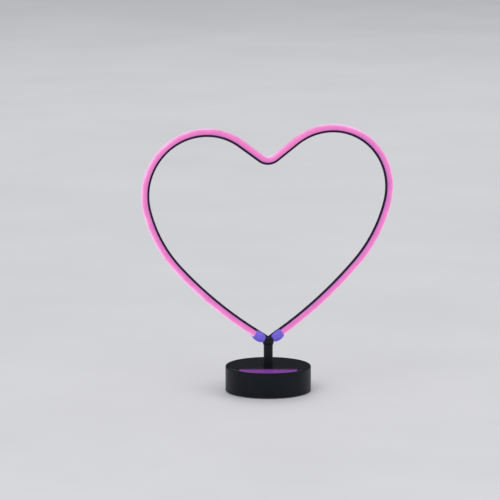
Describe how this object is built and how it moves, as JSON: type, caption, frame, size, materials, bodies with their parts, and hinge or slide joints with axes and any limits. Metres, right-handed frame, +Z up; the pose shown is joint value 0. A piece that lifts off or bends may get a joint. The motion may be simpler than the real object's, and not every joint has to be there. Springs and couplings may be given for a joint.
{
  "type": "heart table light",
  "caption": "Battery table light: a heart outline of LED neon tube on a bent wire frame, on a short post over a round black base.",
  "frame": {"origin": "centre of the base's underside, at the level of the feet", "axes": "+Z up, the heart lies in the XZ plane, the light's front faces -Y and the switch is at the back, +Y"},
  "size_m": [0.2612, 0.086, 0.2679],
  "materials": {
    "neon_silicone": "translucent pink silicone, lit from inside",
    "black_wire": "satin black enamel on steel wire",
    "circuit_flex": "white flexible circuit",
    "led_resin": "LED resin",
    "clear_cap": "blue-violet translucent cap",
    "black_moulding": "fine satin black",
    "post_black": "satin black",
    "plated_steel": "zinc plated",
    "base_gloss": "glossy black top, satin side",
    "base_satin": "fine spark texture",
    "cover_satin": "fine spark texture",
    "foot_rubber": "soft matt rubber",
    "screw_steel": "plated screw",
    "cell_jacket": "plain printed jacket with bare ends",
    "contact_nickel": "nickel plated",
    "slider_grey": "ridged knob",
    "board_laminate": "solder mask",
    "component_resin": "moulded components",
    "lead_red": "red insulation",
    "lead_black": "black insulation"
  },
  "bodies": {
    "lamp": {"base_shell": "base_gloss", "battery_cell_1": "cell_jacket", "battery_cell_2": "cell_jacket", "battery_cell_3": "cell_jacket", "board_components": "component_resin", "bottom_plate": "base_satin", "circuit_board": "board_laminate", "contact_bridge_left": "contact_nickel", "contact_bridge_right": "contact_nickel", "contact_negative": "contact_nickel", "contact_positive": "contact_nickel", "end_cap_left": "clear_cap", "end_cap_right": "clear_cap", "heart_wire": "black_wire", "junction_head": "black_moulding", "lead_left": "lead_black", "lead_right": "lead_red", "led_chips": "led_resin", "led_strip": "circuit_flex", "neon_tube": "neon_silicone", "plate_screws": "screw_steel", "post_nut": "plated_steel", "post_tube": "post_black", "post_washer": "plated_steel", "rubber_foot_1": "foot_rubber", "rubber_foot_2": "foot_rubber", "rubber_foot_3": "foot_rubber", "rubber_foot_4": "foot_rubber", "switch_bracket": "contact_nickel", "switch_housing": "black_moulding", "switch_screws": "screw_steel", "switch_terminals": "contact_nickel", "wire_negative": "lead_black", "wire_positive": "lead_red", "wire_switched": "lead_red"},
    "cover": {"battery_cover": "cover_satin"},
    "slider": {"switch_slider": "slider_grey"}
  },
  "joints": [
    {"name": "cover_hinge", "type": "hinge", "parent": "lamp", "child": "cover", "pos_m": [-0.029, 0, 0.001], "axis": [0, 1, 0], "range_deg": [0, 60]},
    {"name": "switch_slide", "type": "slide", "parent": "lamp", "child": "slider", "axis": [1, 0, 0], "range_m": [-0.004, 0]}
  ]
}
